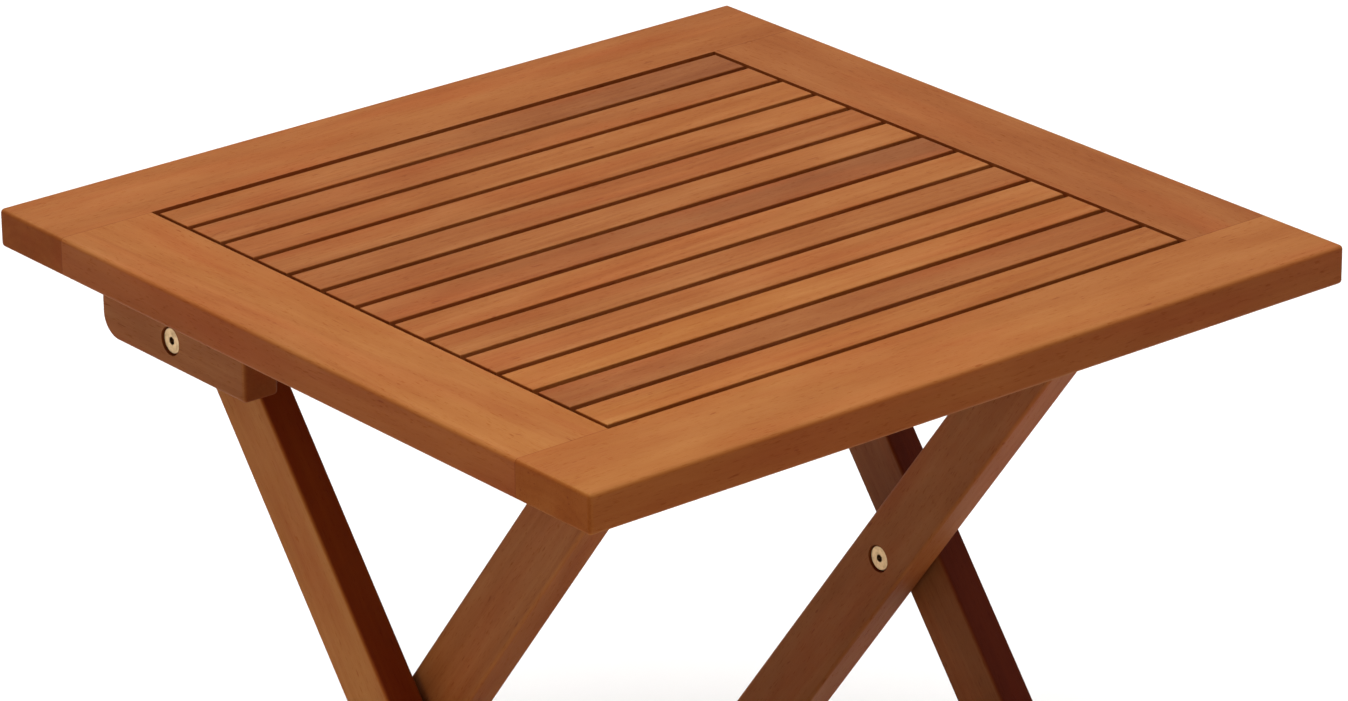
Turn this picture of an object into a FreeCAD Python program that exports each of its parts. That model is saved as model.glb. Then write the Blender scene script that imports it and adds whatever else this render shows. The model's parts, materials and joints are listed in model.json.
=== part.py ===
import FreeCAD, Part
import os
import Sketcher

# Folding slatted side table in solid wood, in millimetres, Z up.
# The origin is on the floor under the middle of the tabletop. X runs along the slats,
# -Y is the front, +Y is the back where the outer legs are hinged.
# The legs form an X at each side. The outer pair leans from the hinges at the back down
# to the front, the inner pair from the catches at the front down to the back.

NODE_FOLDER = "parts"

# Every length that can be set by itself. The hinge's inset runs from the top's back edge,
# its drop from the top's underside, and each screw's bite is its hold in the last piece.
SIZES = {
    "top_width": 600, "top_depth": 600, "top_height": 500, "top_thickness": 26,
    "frame_width": 69, "edge_radius": 3,
    "slat_count": 13, "slat_gap": 5.2, "slat_end_gap": 3.2, "slat_thickness": 12,
    "slat_edge_radius": 0.8,
    "tongue_length": 9, "tongue_thickness": 5, "tongue_shoulder": 3,
    "tenon_length": 30, "tenon_width": 45, "tenon_thickness": 9, "fit_gap": 0.1,
    "batten_width": 40, "batten_seat": 20,
    "leg_inset": 67.5, "leg_width": 45, "leg_thickness": 25, "leg_edge_radius": 2.5,
    "hinge_inset": 132, "hinge_drop": 34, "pivot_gap": 5, "turning_gap": 0.08,
    "cleat_thickness": 26, "cleat_depth": 52, "cleat_front": 79, "cleat_back": 75,
    "cleat_corner_radius": 16,
    "bar_diameter": 22, "bar_tenon_diameter": 14, "bar_tenon_length": 15, "catch_gap": 0.5,
    "catch_thickness": 30, "catch_lip": 24, "catch_drop": 12, "catch_back": 34,
    "catch_clearance": 7.5, "catch_edge_radius": 1,
    "stretcher_thickness": 18, "outer_stretcher_width": 40, "outer_stretcher_place": 60,
    "inner_stretcher_width": 30, "inner_stretcher_place": 34, "stretcher_tenon_length": 12,
    "stretcher_tenon_thickness": 9, "tenon_shoulder": 3,
    "bolt_diameter": 6, "bolt_head_diameter": 17, "bolt_head_thickness": 2.4,
    "bolt_edge_radius": 0.6, "socket_width": 5, "socket_depth": 2.2, "head_recess": 1.3,
    "head_clearance": 1, "sleeve_diameter": 9, "sleeve_length": 20, "spacer_diameter": 20,
    "spacer_play": 0.1, "thread_room": 3,
    "slat_screw_bite": 8, "catch_screw_bite": 7.5, "stretcher_screw_bite": 22,
    "small_screw_diameter": 4, "small_head_diameter": 7.5, "small_head_thickness": 2.4,
    "screw_offset": 8, "cleat_screw_bite": 18, "cleat_screw_diameter": 5,
    "cleat_head_diameter": 9, "cleat_head_thickness": 3, "cleat_screw_spread": 45,
    "cleat_screw_recess": 10, "stretcher_screw_spread": 10, "catch_screw_place": 23,
    "drill_spare": 1,
}


def size(name):
    """The expression that reads one size from the sheet."""
    return f"Sizes.{name}"


# Places that follow from the sizes, as expressions for the document.
HALF_WIDTH = "(Sizes.top_width / 2)"
HALF_DEPTH = "(Sizes.top_depth / 2)"
UNDERSIDE = "(Sizes.top_height - Sizes.top_thickness)"
INNER_WIDTH = "(Sizes.top_width - 2 * Sizes.frame_width)"
INNER_DEPTH = "(Sizes.top_depth - 2 * Sizes.frame_width)"
SLAT_WIDTH = f"(({INNER_DEPTH} - (Sizes.slat_count + 1) * Sizes.slat_gap) / Sizes.slat_count)"
SLAT_BOTTOM = "(Sizes.top_thickness - Sizes.slat_thickness)"
TONGUE_BOTTOM = "((Sizes.slat_thickness - Sizes.tongue_thickness) / 2)"
OUTER_LEG_FACE = "(Sizes.top_width / 2 - Sizes.leg_inset)"
INNER_LEG_FACE = f"({OUTER_LEG_FACE} - Sizes.leg_thickness - Sizes.pivot_gap)"
INNER_CLEAR = f"({INNER_LEG_FACE} - Sizes.leg_thickness)"
CLEAT_FACE = f"({OUTER_LEG_FACE} + Sizes.pivot_gap + Sizes.cleat_thickness)"
HINGE_PLACE = f"({HALF_DEPTH} - Sizes.hinge_inset)"
HINGE_HEIGHT = f"({UNDERSIDE} - Sizes.hinge_drop)"
CLEAT_BELOW = "(Sizes.cleat_depth - Sizes.hinge_drop)"
LEG_REACH = f"sqrt({HINGE_HEIGHT} ^ 2 + (2 * {HINGE_PLACE}) ^ 2)"
LEG_LEAN = f"atan(2 * {HINGE_PLACE} / {HINGE_HEIGHT})"
FOOT_SLANT = f"(Sizes.leg_width * {HINGE_PLACE} / {HINGE_HEIGHT})"
SEAT_RADIUS = "(Sizes.bar_diameter / 2 + Sizes.catch_gap)"
BATTEN_PLACE = f"({INNER_CLEAR} - Sizes.catch_clearance - Sizes.catch_thickness / 2)"
SLAT_SCREW_LENGTH = f"({SLAT_BOTTOM} + Sizes.slat_screw_bite)"
CATCH_SCREW_LENGTH = f"(Sizes.hinge_drop - {SEAT_RADIUS} + Sizes.catch_screw_bite)"
CLEAT_SCREW_LENGTH = "(Sizes.cleat_depth - Sizes.cleat_screw_recess + Sizes.cleat_screw_bite)"
STRETCHER_SCREW_LENGTH = "(Sizes.stretcher_thickness + Sizes.stretcher_screw_bite)"
HEAD_HOLE_RADIUS = "(Sizes.bolt_head_diameter / 2 + Sizes.head_clearance)"
HEAD_HOLE_DEPTH = "(Sizes.bolt_head_thickness + Sizes.head_recess)"
SLEEVE_HOLE_RADIUS = "(Sizes.sleeve_diameter / 2 + Sizes.turning_gap)"
SHANK_HOLE_RADIUS = "(Sizes.bolt_diameter / 2 + Sizes.turning_gap)"
SCREW_HOLE_RADIUS = "(Sizes.small_screw_diameter / 2 + Sizes.fit_gap)"
SCREW_HEAD_RADIUS = "(Sizes.small_head_diameter / 2 + Sizes.fit_gap)"

X_AXIS = FreeCAD.Vector(1, 0, 0)
Y_AXIS = FreeCAD.Vector(0, 1, 0)
Z_AXIS = FreeCAD.Vector(0, 0, 1)
ALONG_X = FreeCAD.Rotation(Y_AXIS, 90)
AGAINST_X = FreeCAD.Rotation(Y_AXIS, -90)
ALONG_Y = FreeCAD.Rotation(X_AXIS, -90)
UPRIGHT = FreeCAD.Rotation()
HALF_TURN = FreeCAD.Rotation(Z_AXIS, 180)
TOLERANCE = 0.001

doc = FreeCAD.newDocument("FoldingTable")
sheet = doc.addObject("Spreadsheet::Sheet", "Sizes")
for row, (alias, value) in enumerate(SIZES.items(), start=1):
    sheet.set(f"A{row}", alias)
    sheet.set(f"B{row}", str(value))
    sheet.setAlias(f"B{row}", alias)
doc.recompute()

nodes = []


# ---------------------------------------------------------------- building helpers

def place(thing, at, rotation=UPRIGHT):
    """Turn an object and tie its place to three expressions."""
    thing.Placement = FreeCAD.Placement(FreeCAD.Vector(), rotation)
    for axis, expression in zip("xyz", at):
        thing.setExpression(f"Placement.Base.{axis}", str(expression))


def new_body(label, at, rotation=UPRIGHT):
    """Start a sub-part with its own label and placement."""
    body = doc.addObject("PartDesign::Body", label)
    body.Label = label
    place(body, at, rotation)
    nodes.append(body)
    return body


def lean_body(label, at, direction):
    """Start a sub-part of a leg frame, leaning by the legs' own angle."""
    body = new_body(label, at, FreeCAD.Rotation(X_AXIS, direction * 30))
    sign = "" if direction > 0 else "-"
    body.setExpression("Placement.Rotation.Angle", f"{sign}{LEG_LEAN}")
    return body


def box(body, lengths, corner, cut=False):
    """Add or cut a block, given its three lengths and its lowest corner."""
    kind = "PartDesign::SubtractiveBox" if cut else "PartDesign::AdditiveBox"
    block = body.newObject(kind, "Block")
    for name, expression in zip(("Length", "Width", "Height"), lengths):
        block.setExpression(name, str(expression))
    place(block, corner)
    return block


def rod(body, radius, length, at, rotation, cut=False):
    """Add or cut a cylinder that starts at a point and runs along a direction."""
    kind = "PartDesign::SubtractiveCylinder" if cut else "PartDesign::AdditiveCylinder"
    cylinder = body.newObject(kind, "Rod")
    cylinder.setExpression("Radius", str(radius))
    cylinder.setExpression("Height", str(length))
    place(cylinder, at, rotation)
    return cylinder


def ease(body, radius, wanted):
    """Round the edges of the body's latest shape for which wanted(edge) is true."""
    doc.recompute()
    last = body.Tip
    names = [f"Edge{n}" for n, edge in enumerate(last.Shape.Edges, start=1) if wanted(edge)]
    fillet = body.newObject("PartDesign::Fillet", "Ease")
    fillet.Base = (last, names)
    fillet.setExpression("Radius", radius)
    return fillet


def ends(edge, axis):
    """The values of one coordinate at an edge's ends."""
    return [getattr(vertex.Point, axis) for vertex in edge.Vertexes]


def lies_at(edge, axis, value):
    """True where the whole edge lies in a plane across one axis."""
    low = getattr(edge.BoundBox, f"{axis.upper()}Min")
    high = getattr(edge.BoundBox, f"{axis.upper()}Max")
    return abs(low - value) < TOLERANCE and abs(high - value) < TOLERANCE


def on_side_faces(edge, thickness):
    """True for an edge of either of the two faces of a board sawn to a profile."""
    return lies_at(edge, "x", 0) or lies_at(edge, "x", thickness)


def value(expression):
    """The present number of an expression, used only to draw a sketch near its shape."""
    result = sheet.evalExpression(expression)
    return float(getattr(result, "Value", result))


def tie(sketch, point, place_xy):
    """Hold both coordinates of a sketch point, given as (geometry, end), at expressions."""
    for kind, expression, axis in zip(("DistanceX", "DistanceY"), place_xy, (-2, -1)):
        if expression == "0":
            sketch.addConstraint(Sketcher.Constraint("PointOnObject", *point, axis))
        elif expression:
            now = value(expression)
            held = sketch.addConstraint(Sketcher.Constraint(kind, -1, 1, *point, now))
            sketch.setExpression(f"Constraints[{held}]", expression)


def side_sketch(body, corners, arc_from=None, centre=None, hollow=False):
    """Draw a closed outline on the sub-part's side plane, where x is Y and y is Z.

    The corners run anticlockwise, each tied to two expressions. From corner arc_from to
    the next the outline is an arc about the centre, whose height is tied.
    """
    sketch = body.newObject("Sketcher::SketchObject", "Outline")
    plane = [p for p in body.Origin.OriginFeatures if p.Role == "YZ_Plane"][0]
    sketch.AttachmentSupport = [(plane, "")]
    sketch.MapMode = "FlatFace"
    points = [FreeCAD.Vector(value(x), value(y), 0) for x, y in corners]
    pieces = []
    for n, start in enumerate(points):
        finish = points[(n + 1) % len(points)]
        if n != arc_from:
            pieces.append((sketch.addGeometry(Part.LineSegment(start, finish)), 1, 2))
            continue
        middle = FreeCAD.Vector(value(centre[0]), value(centre[1]), 0)
        first, second = (finish, start) if hollow else (start, finish)
        circle = Part.Circle(middle, Z_AXIS, (start - middle).Length)
        arc = Part.ArcOfCircle(circle, circle.parameter(first), circle.parameter(second))
        starts, finishes = (2, 1) if hollow else (1, 2)
        pieces.append((sketch.addGeometry(arc), starts, finishes))
        tie(sketch, (pieces[-1][0], 3), (None, centre[1]))
    for here, there, corner in zip(pieces, pieces[1:] + pieces[:1], corners[1:] + corners[:1]):
        joined = (here[0], here[2], there[0], there[1])
        sketch.addConstraint(Sketcher.Constraint("Coincident", *joined))
        tie(sketch, (there[0], there[1]), corner)
    return sketch


def board(body, sketch, thickness):
    """Give a sketched profile its thickness along +X."""
    pad = body.newObject("PartDesign::Pad", "Board")
    pad.Profile = sketch
    pad.setExpression("Length", thickness)
    return pad


def screw(at, rotation, length, kind):
    """One wood screw whose head's face is at a point, with its shank along a direction."""
    pieces = []
    for name, across, long in (
        ("Head", size(f"{kind}_head_diameter"), size(f"{kind}_head_thickness")),
        ("Shank", size(f"{kind}_screw_diameter"), length),
    ):
        cylinder = doc.addObject("Part::Cylinder", name)
        cylinder.setExpression("Radius", f"{across} / 2")
        cylinder.setExpression("Height", long)
        place(cylinder, at, rotation)
        pieces.append(cylinder)
    whole = doc.addObject("Part::Fuse", "Screw")
    whole.Base, whole.Tool = pieces
    return whole


def screw_set(label, screws):
    """Keep identical screws together as separate solids of one sub-part."""
    group = doc.addObject("Part::Compound", label)
    group.Label = label
    group.Links = screws
    nodes.append(group)


# ---------------------------------------------------------------- tabletop frame

def slat_place(number):
    """Where a slat's middle lies along Y, counted from the front."""
    first = f"Sizes.frame_width + Sizes.slat_gap + {SLAT_WIDTH} / 2 - {HALF_DEPTH}"
    return f"({first} + {number} * ({SLAT_WIDTH} + Sizes.slat_gap))"


def make_rail(label, side):
    """Front or back rail. In its own frame the outer edge is at the low Y side."""
    turn = UPRIGHT if side < 0 else HALF_TURN
    body = new_body(label, ("0", f"{side} * ({HALF_DEPTH} - Sizes.frame_width / 2)", UNDERSIDE), turn)
    lengths = (size("top_width"), size("frame_width"), size("top_thickness"))
    box(body, lengths, (f"-{HALF_WIDTH}", "-Sizes.frame_width / 2", "0"))
    inner_edge = value("Sizes.frame_width / 2")
    ease(body, size("edge_radius"), lambda edge: not lies_at(edge, "y", inner_edge))
    mortise = (
        "Sizes.tenon_width + 2 * Sizes.fit_gap",
        "Sizes.tenon_length + Sizes.fit_gap",
        "Sizes.tenon_thickness + 2 * Sizes.fit_gap",
    )
    notch = (
        "Sizes.batten_width + 2 * Sizes.fit_gap",
        "Sizes.batten_seat + Sizes.fit_gap",
        f"{SLAT_BOTTOM} + Sizes.fit_gap",
    )
    for hand in (-1, 1):
        stile_middle = f"{hand} * ({HALF_WIDTH} - Sizes.frame_width / 2)"
        box(body, mortise, (
            f"{stile_middle} - Sizes.tenon_width / 2 - Sizes.fit_gap",
            "Sizes.frame_width / 2 - Sizes.tenon_length - Sizes.fit_gap",
            "(Sizes.top_thickness - Sizes.tenon_thickness) / 2 - Sizes.fit_gap",
        ), cut=True)
        box(body, notch, (
            f"{hand} * {BATTEN_PLACE} - Sizes.batten_width / 2 - Sizes.fit_gap",
            "Sizes.frame_width / 2 - Sizes.batten_seat - Sizes.fit_gap",
            "0",
        ), cut=True)


def make_stile(label, side):
    """Side member between the rails. In its own frame the outer edge is at the high X side."""
    turn = UPRIGHT if side > 0 else HALF_TURN
    body = new_body(label, (f"{side} * ({HALF_WIDTH} - Sizes.frame_width / 2)", "0", UNDERSIDE), turn)
    lengths = (size("frame_width"), INNER_DEPTH, size("top_thickness"))
    box(body, lengths, ("-Sizes.frame_width / 2", f"-{INNER_DEPTH} / 2", "0"))
    outer_edge = value("Sizes.frame_width / 2")
    half_length = value(f"{INNER_DEPTH} / 2")
    ease(body, size("edge_radius"), lambda edge: (
        lies_at(edge, "x", outer_edge) and max(ends(edge, "y")) - min(ends(edge, "y")) > half_length
    ))
    tenon = (size("tenon_width"), f"{INNER_DEPTH} + 2 * Sizes.tenon_length", size("tenon_thickness"))
    box(body, tenon, (
        "-Sizes.tenon_width / 2",
        f"-{INNER_DEPTH} / 2 - Sizes.tenon_length",
        "(Sizes.top_thickness - Sizes.tenon_thickness) / 2",
    ))
    groove = (size("tongue_length"), INNER_DEPTH, "Sizes.tongue_thickness + 2 * Sizes.fit_gap")
    box(body, groove, (
        "-Sizes.frame_width / 2",
        f"-{INNER_DEPTH} / 2",
        f"{SLAT_BOTTOM} + {TONGUE_BOTTOM} - Sizes.fit_gap",
    ), cut=True)
    cleat_middle = f"{CLEAT_FACE} - Sizes.cleat_thickness / 2 - {HALF_WIDTH} + Sizes.frame_width / 2"
    reach = "Sizes.cleat_screw_bite + Sizes.drill_spare"
    for spread in (-1, 1):
        at = (cleat_middle, f"{side} * {HINGE_PLACE} + {spread} * Sizes.cleat_screw_spread", "0")
        rod(body, "Sizes.cleat_screw_diameter / 2 + Sizes.fit_gap", reach, at, UPRIGHT, cut=True)


def make_slat(number):
    """One slat with a tongue at each end and a pilot hole over each batten."""
    at = ("0", slat_place(number), "Sizes.top_height - Sizes.slat_thickness")
    body = new_body(f"slat_{number + 1:02d}", at)
    length = f"({INNER_WIDTH} - 2 * Sizes.slat_end_gap)"
    box(body, (length, SLAT_WIDTH, size("slat_thickness")), (f"-{length} / 2", f"-{SLAT_WIDTH} / 2", "0"))
    top = value("Sizes.slat_thickness")
    ease(body, size("slat_edge_radius"), lambda edge: lies_at(edge, "z", top))
    tongue = (
        f"{length} + 2 * Sizes.tongue_length",
        f"{SLAT_WIDTH} - 2 * Sizes.tongue_shoulder",
        size("tongue_thickness"),
    )
    box(body, tongue, (
        f"-{length} / 2 - Sizes.tongue_length",
        f"-{SLAT_WIDTH} / 2 + Sizes.tongue_shoulder",
        TONGUE_BOTTOM,
    ))
    reach = "Sizes.slat_screw_bite + Sizes.drill_spare"
    for hand in (-1, 1):
        at = (f"{hand} * {BATTEN_PLACE} - Sizes.screw_offset", "0", "0")
        rod(body, SCREW_HOLE_RADIUS, reach, at, UPRIGHT, cut=True)


def make_batten(label, side):
    """Batten under the slats, let into both rails and drilled for its screws."""
    body = new_body(label, (f"{side} * {BATTEN_PLACE}", "0", UNDERSIDE))
    length = f"({INNER_DEPTH} + 2 * Sizes.batten_seat)"
    box(body, (size("batten_width"), length, SLAT_BOTTOM), (
        "-Sizes.batten_width / 2", f"-{length} / 2", "0",
    ))
    for number in range(slat_count):
        at = ("-Sizes.screw_offset", slat_place(number), "0")
        rod(body, SCREW_HOLE_RADIUS, SLAT_BOTTOM, at, UPRIGHT, cut=True)
        rod(body, SCREW_HEAD_RADIUS, "Sizes.small_head_thickness + Sizes.fit_gap", at, UPRIGHT, cut=True)
    reach = "Sizes.catch_screw_bite + Sizes.drill_spare"
    for spread in (-1, 1):
        at = ("Sizes.screw_offset", f"{spread} * Sizes.catch_screw_place - {HINGE_PLACE}", "0")
        rod(body, SCREW_HOLE_RADIUS, reach, at, UPRIGHT, cut=True)


# ---------------------------------------------------------------- fittings under the top

def make_cleat(label, side):
    """Short block under a stile that carries the hinge bolt, its lower back corner rounded."""
    inner_face = f"({OUTER_LEG_FACE} + Sizes.pivot_gap)"
    low_face = inner_face if side > 0 else f"-{CLEAT_FACE}"
    body = new_body(label, (low_face, HINGE_PLACE, HINGE_HEIGHT))
    corner_place = "Sizes.cleat_back - Sizes.cleat_corner_radius"
    corners = [
        ("-Sizes.cleat_front", size("hinge_drop")),
        ("-Sizes.cleat_front", f"-{CLEAT_BELOW}"),
        (corner_place, f"-{CLEAT_BELOW}"),
        (size("cleat_back"), f"Sizes.cleat_corner_radius - {CLEAT_BELOW}"),
        (size("cleat_back"), size("hinge_drop")),
    ]
    centre = (corner_place, f"Sizes.cleat_corner_radius - {CLEAT_BELOW}")
    board(body, side_sketch(body, corners, 2, centre), size("cleat_thickness"))
    top = value(size("hinge_drop"))
    bottom = value(f"-{CLEAT_BELOW}")
    front = value("-Sizes.cleat_front")
    thickness = value(size("cleat_thickness"))
    ease(body, size("edge_radius"), lambda edge: (
        (on_side_faces(edge, thickness) and not lies_at(edge, "z", top))
        or (lies_at(edge, "z", bottom) and lies_at(edge, "y", front))
    ))
    rod(body, SHANK_HOLE_RADIUS, size("cleat_thickness"), ("0", "0", "0"), ALONG_X, cut=True)
    recess = f"Sizes.cleat_thickness - {HEAD_HOLE_DEPTH}" if side > 0 else "0"
    rod(body, HEAD_HOLE_RADIUS, HEAD_HOLE_DEPTH, (recess, "0", "0"), ALONG_X, cut=True)
    for spread in (-1, 1):
        at = ("Sizes.cleat_thickness / 2", f"{spread} * Sizes.cleat_screw_spread", f"-{CLEAT_BELOW}")
        shank_radius = "Sizes.cleat_screw_diameter / 2 + Sizes.fit_gap"
        rod(body, shank_radius, size("cleat_depth"), at, UPRIGHT, cut=True)
        head_hole = "Sizes.cleat_screw_recess + Sizes.cleat_head_thickness + Sizes.fit_gap"
        rod(body, "Sizes.cleat_head_diameter / 2 + Sizes.fit_gap", head_hole, at, UPRIGHT, cut=True)


def make_catch(label, side):
    """Block under the top with a round seat, open to the back, for the inner legs' bar."""
    low_face = f"{side} * {BATTEN_PLACE} - Sizes.catch_thickness / 2"
    body = new_body(label, (low_face, f"-{HINGE_PLACE}", HINGE_HEIGHT))
    front = f"-{SEAT_RADIUS} - Sizes.catch_lip"
    corners = [
        (front, size("hinge_drop")),
        (front, "-Sizes.catch_drop"),
        (f"-{SEAT_RADIUS}", "-Sizes.catch_drop"),
        (f"-{SEAT_RADIUS}", "0"),
        ("0", SEAT_RADIUS),
        (size("catch_back"), SEAT_RADIUS),
        (size("catch_back"), size("hinge_drop")),
    ]
    board(body, side_sketch(body, corners, 3, ("0", "0"), hollow=True), size("catch_thickness"))
    top = value(size("hinge_drop"))
    thickness = value(size("catch_thickness"))
    ease(body, size("catch_edge_radius"), lambda edge: (
        on_side_faces(edge, thickness) and not lies_at(edge, "z", top)
    ))
    for spread in (-1, 1):
        place_x = "Sizes.catch_thickness / 2 + Sizes.screw_offset"
        place_y = f"{spread} * Sizes.catch_screw_place"
        rod(body, SCREW_HOLE_RADIUS, size("hinge_drop"), (place_x, place_y, "0"), UPRIGHT, cut=True)
        head_hole = f"Sizes.catch_drop + {SEAT_RADIUS} + Sizes.small_head_thickness"
        rod(body, SCREW_HEAD_RADIUS, head_hole, (place_x, place_y, "-Sizes.catch_drop"), UPRIGHT, cut=True)


# ---------------------------------------------------------------- leg frames

def leg_board(label, at, direction):
    """A leg with a round top end about its pivot and a foot cut level with the floor."""
    body = lean_body(label, at, direction)
    half = "Sizes.leg_width / 2"
    foot_rise = f"{-direction} * {FOOT_SLANT}"
    foot_drop = f"{direction} * {FOOT_SLANT}"
    corners = [(f"-{half}", foot_drop), (half, foot_rise), (half, LEG_REACH), (f"-{half}", LEG_REACH)]
    board(body, side_sketch(body, corners, 2, ("0", LEG_REACH)), size("leg_thickness"))
    thickness = value(size("leg_thickness"))
    ease(body, size("leg_edge_radius"), lambda edge: on_side_faces(edge, thickness))
    return body


def face_hole(body, radius, depth, reach, at_high_face):
    """A round hole of some depth in one of a leg's two broad faces."""
    start = f"Sizes.leg_thickness - ({depth})" if at_high_face else "0"
    rod(body, radius, depth, (start, "0", reach), ALONG_X, cut=True)


def make_outer_leg(label, side):
    """Outer leg, hinged at the back. Both bolts' sleeves pass through it."""
    low_face = f"{OUTER_LEG_FACE} - Sizes.leg_thickness" if side > 0 else f"-{OUTER_LEG_FACE}"
    body = leg_board(label, (low_face, f"-{HINGE_PLACE}", "0"), -1)
    crossing = f"{LEG_REACH} / 2"
    for reach in (LEG_REACH, crossing):
        face_hole(body, SLEEVE_HOLE_RADIUS, size("leg_thickness"), reach, False)
    face_hole(body, HEAD_HOLE_RADIUS, f"{HEAD_HOLE_DEPTH} + Sizes.spacer_play", LEG_REACH, side < 0)
    face_hole(body, HEAD_HOLE_RADIUS, HEAD_HOLE_DEPTH, crossing, side > 0)
    reach = "Sizes.stretcher_screw_bite + Sizes.drill_spare"
    for spread in (-1, 1):
        at = ("Sizes.leg_thickness / 2", "-Sizes.leg_width / 2", stretcher_screw_place(spread))
        rod(body, SCREW_HOLE_RADIUS, reach, at, ALONG_Y, cut=True)


def make_inner_leg(label, side):
    """Inner leg, with the crossing bolt's hole, the bar's socket and the stretcher's mortise."""
    low_face = INNER_CLEAR if side > 0 else f"-{INNER_LEG_FACE}"
    body = leg_board(label, (low_face, HINGE_PLACE, "0"), 1)
    crossing = f"{LEG_REACH} / 2"
    face_hole(body, SHANK_HOLE_RADIUS, size("leg_thickness"), crossing, False)
    face_hole(body, HEAD_HOLE_RADIUS, f"{HEAD_HOLE_DEPTH} + Sizes.spacer_play", crossing, side < 0)
    socket = "Sizes.bar_tenon_length + Sizes.fit_gap"
    face_hole(body, "Sizes.bar_tenon_diameter / 2 + Sizes.fit_gap", socket, LEG_REACH, side < 0)
    depth = "Sizes.stretcher_tenon_length + Sizes.fit_gap"
    lengths = (depth, "Sizes.stretcher_tenon_thickness + 2 * Sizes.fit_gap", (
        "Sizes.inner_stretcher_width - 2 * Sizes.tenon_shoulder + 2 * Sizes.fit_gap"
    ))
    start = "0" if side > 0 else f"Sizes.leg_thickness - ({depth})"
    stretcher_low = "Sizes.inner_stretcher_place - Sizes.inner_stretcher_width / 2"
    box(body, lengths, (
        start,
        "-Sizes.stretcher_tenon_thickness / 2 - Sizes.fit_gap",
        f"{stretcher_low} + Sizes.tenon_shoulder - Sizes.fit_gap",
    ), cut=True)


def stretcher_screw_place(spread):
    """How far up the outer leg a stretcher screw is."""
    return f"Sizes.outer_stretcher_place + {spread} * Sizes.stretcher_screw_spread"


def make_outer_stretcher():
    """Cross rail on the front edges of the outer legs, clear of the inner legs' fold."""
    body = lean_body("outer_stretcher", ("0", f"-{HINGE_PLACE}", "0"), -1)
    lengths = (f"2 * {OUTER_LEG_FACE}", size("stretcher_thickness"), size("outer_stretcher_width"))
    front = "-Sizes.leg_width / 2 - Sizes.stretcher_thickness"
    box(body, lengths, (
        f"-{OUTER_LEG_FACE}", front, "Sizes.outer_stretcher_place - Sizes.outer_stretcher_width / 2",
    ))
    ease(body, size("leg_edge_radius"), lambda edge: True)
    for hand in (-1, 1):
        for spread in (-1, 1):
            across = f"{hand} * ({OUTER_LEG_FACE} - Sizes.leg_thickness / 2)"
            at = (across, front, stretcher_screw_place(spread))
            rod(body, SCREW_HOLE_RADIUS, size("stretcher_thickness"), at, ALONG_Y, cut=True)
            depth = "Sizes.small_head_thickness + Sizes.fit_gap"
            rod(body, SCREW_HEAD_RADIUS, depth, at, ALONG_Y, cut=True)


def make_inner_stretcher():
    """Cross rail between the inner legs near their feet, tenoned into both."""
    body = lean_body("inner_stretcher", ("0", HINGE_PLACE, "0"), 1)
    lengths = (f"2 * {INNER_CLEAR}", size("stretcher_thickness"), size("inner_stretcher_width"))
    low = "Sizes.inner_stretcher_place - Sizes.inner_stretcher_width / 2"
    box(body, lengths, (f"-{INNER_CLEAR}", "-Sizes.stretcher_thickness / 2", low))
    end = value(INNER_CLEAR)
    ease(body, size("leg_edge_radius"), lambda edge: (
        not lies_at(edge, "x", end) and not lies_at(edge, "x", -end)
    ))
    tenon = (
        f"2 * {INNER_CLEAR} + 2 * Sizes.stretcher_tenon_length",
        size("stretcher_tenon_thickness"),
        "Sizes.inner_stretcher_width - 2 * Sizes.tenon_shoulder",
    )
    box(body, tenon, (
        f"-{INNER_CLEAR} - Sizes.stretcher_tenon_length",
        "-Sizes.stretcher_tenon_thickness / 2",
        f"{low} + Sizes.tenon_shoulder",
    ))


def make_top_bar():
    """Round bar between the inner legs' top ends, which rests in the catches."""
    body = lean_body("inner_top_bar", ("0", HINGE_PLACE, "0"), 1)
    rod(body, "Sizes.bar_diameter / 2", f"2 * {INNER_CLEAR}", (f"-{INNER_CLEAR}", "0", LEG_REACH), ALONG_X)
    tenon = f"2 * {INNER_CLEAR} + 2 * Sizes.bar_tenon_length"
    start = f"-{INNER_CLEAR} - Sizes.bar_tenon_length"
    rod(body, "Sizes.bar_tenon_diameter / 2", tenon, (start, "0", LEG_REACH), ALONG_X)


# ---------------------------------------------------------------- pivots

def flat_head(body):
    """A flat round head with an eased rim, its face at the sub-part's own zero."""
    rod(body, "Sizes.bolt_head_diameter / 2", size("bolt_head_thickness"), ("0", "0", "0"), UPRIGHT)
    ease(body, size("bolt_edge_radius"), lambda edge: lies_at(edge, "z", 0))


def hex_socket(body):
    """The hexagonal key hole in a head."""
    socket = body.newObject("PartDesign::SubtractivePrism", "Socket")
    socket.Polygon = 6
    socket.setExpression("Circumradius", "Sizes.socket_width / sqrt(3)")
    socket.setExpression("Height", size("socket_depth"))


def make_bolt(label, at, rotation, length):
    """Connector bolt: a flat head on a plain shank."""
    body = new_body(label, at, rotation)
    flat_head(body)
    rod(body, "Sizes.bolt_diameter / 2", f"{length} + Sizes.bolt_head_thickness", ("0", "0", "0"), UPRIGHT)
    hex_socket(body)


def make_nut(label, at, rotation):
    """Connector nut: a flat head on a sleeve that takes the bolt's shank."""
    body = new_body(label, at, rotation)
    flat_head(body)
    whole = "Sizes.sleeve_length + Sizes.bolt_head_thickness"
    rod(body, "Sizes.sleeve_diameter / 2", whole, ("0", "0", "0"), UPRIGHT)
    behind_head = ("0", "0", size("bolt_head_thickness"))
    rod(body, SHANK_HOLE_RADIUS, size("sleeve_length"), behind_head, UPRIGHT, cut=True)
    hex_socket(body)


def make_spacer(label, at):
    """Washer that keeps two turning pieces of wood apart."""
    body = new_body(label, at, ALONG_X)
    thickness = "Sizes.pivot_gap - 2 * Sizes.spacer_play"
    rod(body, "Sizes.spacer_diameter / 2", thickness, ("0", "0", "0"), UPRIGHT)
    rod(body, SHANK_HOLE_RADIUS, thickness, ("0", "0", "0"), UPRIGHT, cut=True)


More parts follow.
